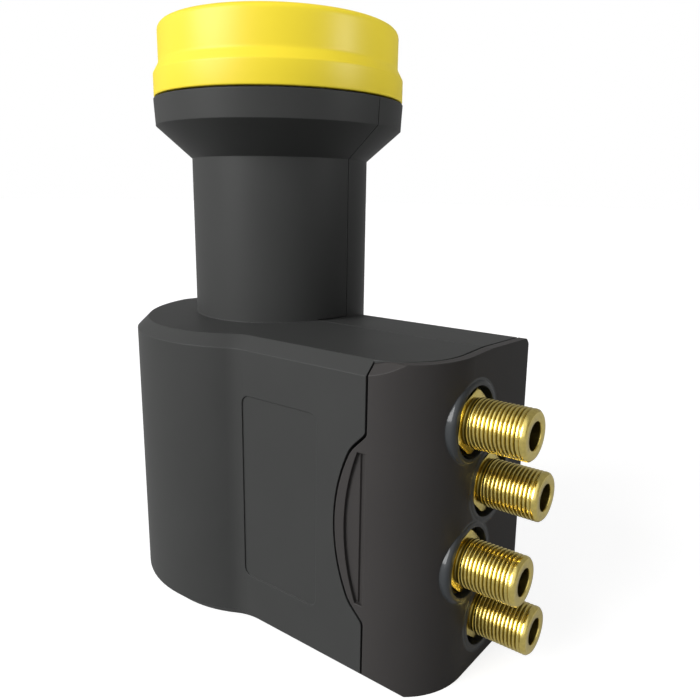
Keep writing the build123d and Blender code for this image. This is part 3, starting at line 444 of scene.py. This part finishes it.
def surface_mesh(name, points, joined, **values):
    """A mesh of quads over points[row, column]. The columns join end to start, and so do the rows if
    joined. Points in one place, as at a pole, become one. Each named value is kept on the points."""
    rows, columns = points.shape[:2]
    corner = np.arange(rows * columns).reshape(rows, columns)
    down, right = np.roll(corner, -1, 0), np.roll(corner, -1, 1)
    quads = np.stack([corner, down, np.roll(down, -1, 1), right], -1)
    quads = (quads if joined else quads[:-1]).reshape(-1, 4)
    mesh = bpy.data.meshes.new(name)
    mesh.vertices.add(rows * columns)
    mesh.vertices.foreach_set("co", points.reshape(-1).astype(np.float32))
    mesh.loops.add(quads.size)
    mesh.loops.foreach_set("vertex_index", quads.reshape(-1).astype(np.int32))
    mesh.polygons.add(len(quads))
    mesh.polygons.foreach_set("loop_start", np.arange(0, quads.size, 4, dtype=np.int32))
    mesh.update(calc_edges=True)
    for key, value in values.items():
        kept = mesh.attributes.new(key, "FLOAT", "POINT")
        kept.data.foreach_set("value", value.reshape(-1).astype(np.float32))
    shell = bmesh.new()
    shell.from_mesh(mesh)
    bmesh.ops.remove_doubles(shell, verts=shell.verts, dist=1e-7)
    shell.to_mesh(mesh)
    shell.free()
    mesh.polygons.foreach_set("use_smooth", np.ones(len(mesh.polygons), bool))
    mesh.set_sharp_from_angle(angle=SHARP_ANGLE)
    return mesh


def add_piece(name, mesh, material, body, replaced):
    """An object of the mesh that rides on a body and takes the place of CAD nodes."""
    piece = bpy.data.objects.new(name, mesh)
    bpy.context.scene.collection.objects.link(piece)
    piece.data.materials.append(material)
    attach(piece, body)
    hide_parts(*replaced)
    return piece


def rounded_section(corners, radii, steps=6):
    """Points of a closed section with each corner turned into an arc: the arc starts and ends at
    radius * tan(turn / 2) from the corner, and its centre lies on the corner's bisector."""
    corners = np.array(corners, float)
    radii = np.array(radii, float)
    towards_last = np.roll(corners, 1, 0) - corners
    towards_next = np.roll(corners, -1, 0) - corners
    towards_last /= np.linalg.norm(towards_last, axis=1, keepdims=True)
    towards_next /= np.linalg.norm(towards_next, axis=1, keepdims=True)
    half = np.arccos(np.clip((towards_last * towards_next).sum(1), -1, 1)) / 2
    bisector = towards_last + towards_next
    bisector /= np.maximum(np.linalg.norm(bisector, axis=1, keepdims=True), 1e-12)
    centre = corners + bisector * (radii / np.sin(half))[:, None]
    start = corners + towards_last * (radii / np.tan(half))[:, None]
    end = corners + towards_next * (radii / np.tan(half))[:, None]
    share = np.linspace(0, 1, steps)[None, :, None]
    a, b = (start - centre)[:, None], (end - centre)[:, None]
    turn = (np.pi - 2 * half)[:, None, None]
    arc = (np.sin((1 - share) * turn) * a + np.sin(share * turn) * b) / np.sin(turn)
    return (centre[:, None] + arc).reshape(-1, 2)


def turned_points(section, steps):
    """Rows of rings about Z: each point (r, z) of a section goes to r cos t, r sin t and z."""
    turn = np.linspace(0, 2 * np.pi, steps, endpoint=False)
    radius, height = section[:, 0, None], section[:, 1, None]
    return np.stack([radius * np.cos(turn), radius * np.sin(turn),
                     np.broadcast_to(height, (len(section), steps))], -1)


class LNB_OT_shells(bpy.types.Operator):
    """Finish the two shells of the housing"""

    bl_idname = "lnb.shells"
    bl_label = "Finish shells"

    def execute(self, context):
        look = context.scene.lnb_plastic
        plastic = moulded_plastic("housing_plastic_grained", look.shell_colour, look.grain_pitch,
                                  look.grain_height, look.edge_radius, look.roughness, gloss=look.gloss)
        finish_nodes(plastic, ["near_shell", "far_shell"])
        return {"FINISHED"}


def polish_collars(material, look):
    """Gives the collars their own tone and gloss. The mask falls from 1 to 0 over the last 0.1 mm
    before the collar's radius, which is taken from the nearest connector's axis."""
    tree = material.node_tree
    surface = tree.nodes["Principled BSDF"]
    place = node(tree, "ShaderNodeTexCoord")
    flat = tree.nodes.new("ShaderNodeVectorMath")
    flat.operation = "MULTIPLY"
    tree.links.new(place.outputs["Object"], flat.inputs[0])
    flat.inputs[1].default_value = (0, 1, 1)
    fade = 0.1 * MM
    nearest = 1.0
    for name in CONNECTORS:
        low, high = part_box(name)
        away = tree.nodes.new("ShaderNodeVectorMath")
        away.operation = "DISTANCE"
        tree.links.new(flat.outputs[0], away.inputs[0])
        away.inputs[1].default_value = (0, (low.y + high.y) / 2, (low.z + high.z) / 2)
        nearest = maths(tree, "MINIMUM", away.outputs["Value"], nearest)
    mask = node(tree, "ShaderNodeMapRange", [("Value", nearest)], From_Min=look.collar_radius,
                From_Max=look.collar_radius - fade).outputs[0]
    plain = surface.inputs["Base Color"].links[0].from_socket
    tree.links.new(mix_colours(tree, mask, plain, look.collar_colour), surface.inputs["Base Color"])
    tree.links.new(maths(tree, "MULTIPLY", mask, look.collar_gloss), surface.inputs["Coat Weight"])
    surface.inputs["Coat Roughness"].default_value = look.collar_shine
    groups = [each for each in tree.nodes if each.type == "GROUP"]
    edge = next(each for each in groups if each.node_tree.name == "moulded_edge")
    more = maths(tree, "MULTIPLY", mask, look.collar_edge)
    tree.links.new(maths(tree, "ADD", more, look.edge_radius), edge.inputs["Radius"])


class LNB_OT_weather_cover(bpy.types.Operator):
    """Finish the sliding weather cover"""

    bl_idname = "lnb.weather_cover"
    bl_label = "Finish weather cover"

    def execute(self, context):
        look = context.scene.lnb_plastic
        plastic = moulded_plastic("cover_plastic_grained", look.cover_colour, look.grain_pitch,
                                  look.grain_height, look.edge_radius, look.roughness, gloss=look.gloss)
        polish_collars(plastic, look)
        finish_nodes(plastic, ["weather_cover"])
        return {"FINISHED"}


class LNB_OT_radome_cap(bpy.types.Operator):
    """Build the yellow cap as a turned surface with rounded edges"""

    bl_idname = "lnb.radome_cap"
    bl_label = "Build radome cap"

    def execute(self, context):
        size = context.scene.lnb_cap
        low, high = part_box("radome_cap")
        band, drum = size.band_diameter / 2, size.drum_diameter / 2
        shoulder = low.z + size.band_height
        wall, lip = size.wall, 0.3 * MM
        corners = [
            (0.0, high.z), (drum, high.z), (drum, shoulder + size.step_height), (band, shoulder),
            (band, low.z), (band - wall, low.z), (band - wall, shoulder - wall / 4),
            (drum - wall, shoulder + size.step_height - wall / 4), (drum - wall, high.z - wall),
            (0.0, high.z - wall)]
        radii = [0.0, size.top_radius, size.step_radius, size.step_radius / 2, lip, lip, lip,
                 lip, 2 * lip, 0.0]
        section = rounded_section(corners, radii)
        plastic = moulded_plastic("cap_plastic_satin", size.colour, pitch=0.5 * MM, height=0.006 * MM,
                                  radius=0.2 * MM, roughness=0.42, drift=0.05, painted_edge_highlight=0.0)
        mesh = surface_mesh("yellow_cap", turned_points(section, 256), joined=False)
        add_piece("yellow_cap", mesh, plastic, "housing", ["radome_cap"])
        return {"FINISHED"}


def thread_radius(along, turn, size, start, stop):
    """Radius of the threaded barrel at a distance along it and a turn about it, both arrays: the
    crest radius less the depth times a rounded V of the phase, which is the distance in pitches plus
    the turn in whole turns, for a right-handed thread; the V fades to nothing over a pitch at each
    end."""
    phase = along / size.thread_pitch + turn / (2 * np.pi)
    flank = (0.5 - 0.5 * np.cos(2 * np.pi * phase)) ** 3
    fade_in = np.clip((along - start) / size.thread_pitch, 0, 1)
    fade_out = np.clip((stop - along) / size.thread_pitch, 0, 1)
    return size.thread_diameter / 2 - size.thread_depth * flank * fade_in * fade_out


def connector_points(size, low, high, hex_turn):
    """The plated body as rows of rings about its axis: bored end, barrel, hexagon, thread, bevelled
    tip, socket bore and insulator bore. The hexagon's radius is half its flats over the cosine of the
    angle from the nearest flat, cut by a cone at its front and back."""
    turn = np.linspace(0, 2 * np.pi, 180, endpoint=False)
    flat_angle = (turn - hex_turn) % (np.pi / 3) - np.pi / 6
    hexagon = size.hex_flats / 2 / np.cos(flat_angle)
    corner = size.hex_flats / 2 / np.cos(np.pi / 6)
    crest = size.thread_diameter / 2
    root = crest - size.thread_depth
    tip, back = high.x, low.x
    hex_front, hex_back = size.hex_front, size.hex_front - size.hex_length
    bore, inner = size.socket_bore / 2, size.insulator_bore / 2
    floor = tip - size.socket_depth
    crown, crown_slope, soft = 0.45 * MM, 0.6, 0.08 * MM
    start, stop = hex_front + 0.95 * MM, tip - 0.75 * MM
    rows_per_pitch = 14

    def rings(*places):
        return [(np.broadcast_to(x, turn.shape), np.broadcast_to(radius, turn.shape))
                for x, radius in places]

    disc = np.minimum(hexagon, corner - crown)
    cone = (np.maximum(hexagon, corner - crown) - (corner - crown)) * crown_slope
    rows = rings((back, inner), (back, crest), (hex_back, crest),
                 (hex_back, corner - crown - 1.2 * MM), (hex_back, disc - soft),
                 (hex_back + soft / 2, disc), (hex_back + soft + cone, hexagon),
                 (hex_front - soft - cone, hexagon), (hex_front - soft / 2, disc),
                 (hex_front, disc - soft), (hex_front, crest - 0.1 * MM))
    # The relief between the hexagon and the first turn
    rows += rings((hex_front + 0.05 * MM, root + 0.12 * MM), (hex_front + 0.3 * MM, root),
                  (hex_front + 0.6 * MM, root + 0.02 * MM), (hex_front + 0.8 * MM, crest - 0.06 * MM))
    along = np.arange(start, stop, size.thread_pitch / rows_per_pitch)
    rows += rings(*zip(along, thread_radius(along[:, None], turn[None, :], size, start, stop)))
    # The bevelled tip, the rounded rim and the bores behind it
    rows += rings((stop, crest), (tip - 0.42 * MM, crest - 0.06 * MM),
                  (tip - 0.12 * MM, crest - 0.34 * MM), (tip - 0.03 * MM, crest - 0.46 * MM),
                  (tip, crest - 0.6 * MM), (tip, bore + 0.12 * MM), (tip - 0.04 * MM, bore + 0.04 * MM),
                  (tip - 0.1 * MM, bore), (tip - 0.4 * MM, bore), (tip - 1.0 * MM, bore),
                  (floor, bore), (floor, inner))
    x, radius = (np.stack(values) for values in zip(*rows))
    y, z = (low.y + high.y) / 2, (low.z + high.z) / 2
    return np.stack([x, y + radius * np.sin(turn), z + radius * np.cos(turn)], -1)


def soil_values(points, size, low, high):
    """How much painted shade and dullness each point gets. Ahead of the hexagon it is the depth below
    the thread's crest as a share of the thread's depth, to the power of 1.5. In the bore it rises to 0.9
    over 0.3 mm, from just inside the rim. Elsewhere it is 0."""
    radius = np.hypot(points[..., 1] - (low.y + high.y) / 2, points[..., 2] - (low.z + high.z) / 2)
    x = points[..., 0]
    barrel = (x > size.hex_front) & (x < high.x - 0.5 * MM)
    depth = np.clip((size.thread_diameter / 2 - radius) / size.thread_depth, 0, 1)
    inside = radius < size.socket_bore / 2 + 0.02 * MM
    deep = np.clip((high.x - 0.08 * MM - x) / (0.3 * MM), 0, 1)
    return np.where(inside, 0.9 * deep, np.where(barrel, depth ** 1.5, 0.0))


class LNB_OT_connectors(bpy.types.Operator):
    """Build the four gold-plated threaded connectors"""

    bl_idname = "lnb.connectors"
    bl_label = "Build connectors"

    def execute(self, context):
        size = context.scene.lnb_connector
        gold = gold_plating(size)
        for number, name in enumerate(CONNECTORS, 1):
            low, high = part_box(name)
            points = connector_points(size, low, high, size.hex_turns[number - 1])
            mesh = surface_mesh(f"threaded_connector_{number}", points, joined=True,
                                soil=soil_values(points, size, low, high))
            add_piece(mesh.name, mesh, gold, "housing", [name])
        return {"FINISHED"}


class LNB_OT_inner_parts(bpy.types.Operator):
    """Finish the casting, lids, boards, screws, seals and what is in the connectors"""

    bl_idname = "lnb.inner_parts"
    bl_label = "Finish inner parts"

    def execute(self, context):
        for name, (colour, roughness, pitch, height, nodes) in INNER_METALS.items():
            metal = plated_metal(name, colour, roughness, pitch * MM, height * MM)
            finish_nodes(metal, nodes)
        for name, (colour, pitch, height, radius, roughness, nodes) in INNER_PLASTICS.items():
            plastic = moulded_plastic(name, colour, pitch * MM, height * MM, radius * MM, roughness)
            finish_nodes(plastic, nodes)
        return {"FINISHED"}


def seen_share(tree, mirrored_share):
    """A share: 1 for what the camera sees, and mirrored_share for what a gloss or a clear body sees."""
    path = tree.nodes.new("ShaderNodeLightPath")
    mirrored = maths(tree, "MAXIMUM", path.outputs["Is Glossy Ray"], path.outputs["Is Transmission Ray"])
    mirrored = maths(tree, "MULTIPLY", mirrored, mirrored_share)
    return maths(tree, "MAXIMUM", path.outputs["Is Camera Ray"], mirrored)


def lay_floor(scene, look, height, half=6.0):
    """A square floor under the object, whose white is only for the camera and, in part, for gloss."""
    corners = [(-half, -half, height), (half, -half, height), (half, half, height),
               (-half, half, height)]
    mesh = bpy.data.meshes.new("floor")
    mesh.from_pydata(corners, [], [(0, 1, 2, 3)])
    floor = bpy.data.objects.new("floor", mesh)
    scene.collection.objects.link(floor)
    material, tree, surface = new_material("pale_floor", Roughness=0.9, Specular_IOR_Level=0.1)
    surface.inputs["Base Color"].default_value = rgba(look.floor_colour)
    glow = tree.nodes.new("ShaderNodeEmission")
    strength = maths(tree, "MULTIPLY", seen_share(tree, look.glow_in_gloss), look.floor_glow)
    tree.links.new(strength, glow.inputs["Strength"])
    both = tree.nodes.new("ShaderNodeAddShader")
    tree.links.new(surface.outputs[0], both.inputs[0])
    tree.links.new(glow.outputs[0], both.inputs[1])
    tree.links.new(both.outputs[0], tree.nodes["Material Output"].inputs["Surface"])
    mesh.materials.append(material)


def build_studio(scene, look):
    """A world that is white to the camera, an even soft light to the object, and white on one side
    and dim on the other to a gloss, though never dimmer than the soft light."""
    world = bpy.data.worlds.new("studio")
    scene.world = world
    world.use_nodes = True
    sky = world.node_tree
    back = sky.nodes["Background"]
    way = node(sky, "ShaderNodeTexCoord")
    front = sky.nodes.new("ShaderNodeVectorMath")
    front.operation = "DOT_PRODUCT"
    sky.links.new(way.outputs["Generated"], front.inputs[0])
    front.inputs[1].default_value = Vector(look.white_side).normalized()
    walls = node(sky, "ShaderNodeMapRange", [("Value", front.outputs["Value"])],
                 interpolation_type="SMOOTHSTEP", From_Min=-0.15, From_Max=0.55,
                 To_Min=look.dim_side, To_Max=1.0)
    seen = seen_share(sky, walls.outputs[0])
    sky.links.new(maths(sky, "MAXIMUM", seen, look.sky_strength), back.inputs["Strength"])
    back.inputs["Color"].default_value = (1, 1, 1, 1)


def hang_lamp(scene, name, kind, way, place=(0, 0, 0), in_gloss=True, **values):
    """A lamp that shines against a way, which points from the object to it."""
    lamp = bpy.data.lights.new(name, kind)
    for key, value in values.items():
        setattr(lamp, key, value)
    holder = bpy.data.objects.new(name, lamp)
    holder.location = place
    holder.rotation_euler = Vector(way).to_track_quat("Z", "Y").to_euler()
    holder.visible_glossy = in_gloss
    scene.collection.objects.link(holder)


def set_camera(scene, look):
    """The camera at the photograph's place and angle: turned about Z, raised, then rolled."""
    turn = (Matrix.Rotation(look.azimuth, 3, "Z") @ Matrix.Rotation(np.pi / 2 - look.elevation, 3, "X")
            @ Matrix.Rotation(look.roll, 3, "Z"))
    camera = bpy.data.cameras.new("camera")
    camera.sensor_width, camera.lens = 36.0, look.focal_length
    camera.clip_start, camera.clip_end = 0.005, 50.0
    holder = bpy.data.objects.new("camera", camera)
    holder.matrix_world = Matrix.Translation(look.camera_place) @ turn.to_4x4()
    scene.collection.objects.link(holder)
    scene.camera = holder


class LNB_OT_stage(bpy.types.Operator):
    """Set the floor, the lamps, the sky and the camera"""

    bl_idname = "lnb.stage"
    bl_label = "Set stage"

    def execute(self, context):
        scene = context.scene
        look = scene.lnb_stage
        lay_floor(scene, look, cad_low.z)
        build_studio(scene, look)
        hang_lamp(scene, "key", "SUN", look.key_direction, energy=look.key_strength,
                  angle=look.lamp_angle)
        hang_lamp(scene, "back", "SUN", look.back_direction, in_gloss=False, energy=look.back_strength,
                  angle=look.lamp_angle)
        way = Vector(look.rim_place) - Vector(look.rim_target)
        hang_lamp(scene, "rim", "AREA", way, look.rim_place, energy=look.rim_power,
                  size=look.rim_size, spread=look.rim_spread)
        set_camera(scene, look)
        scene.view_settings.view_transform = "Standard"
        return {"FINISHED"}


class LNB_PT_sidebar(bpy.types.Panel):
    """The dressing's steps and sizes"""

    bl_idname = "LNB_PT_sidebar"
    bl_label = "Satellite LNB"
    bl_space_type = "VIEW_3D"
    bl_region_type = "UI"
    bl_category = "LNB"

    def draw(self, context):
        for step in STEPS:
            self.layout.operator(step.bl_idname)
        for group in SETTINGS:
            box = self.layout.box()
            settings = getattr(context.scene, group)
            for key in settings.bl_rna.properties.keys():
                if key not in ("rna_type", "name"):
                    box.prop(settings, key)


SETTINGS = {"lnb_plastic": PlasticSettings, "lnb_cap": CapSettings, "lnb_connector": ConnectorSettings,
            "lnb_stage": StageSettings}
STEPS = [LNB_OT_shells, LNB_OT_weather_cover, LNB_OT_radome_cap, LNB_OT_connectors, LNB_OT_inner_parts,
         LNB_OT_stage]
CLASSES = [*SETTINGS.values(), *STEPS, LNB_PT_sidebar]


def register():
    for made in CLASSES:
        bpy.utils.register_class(made)
    for name, group in SETTINGS.items():
        setattr(bpy.types.Scene, name, PointerProperty(type=group))


def unregister():
    for name in SETTINGS:
        delattr(bpy.types.Scene, name)
    for made in reversed(CLASSES):
        bpy.utils.unregister_class(made)


def main():
    """Runs every step in order."""
    register()
    bpy.ops.lnb.shells()
    bpy.ops.lnb.weather_cover()
    bpy.ops.lnb.radome_cap()
    bpy.ops.lnb.connectors()
    bpy.ops.lnb.inner_parts()
    bpy.ops.lnb.stage()


if __name__ == "__main__":
    main()
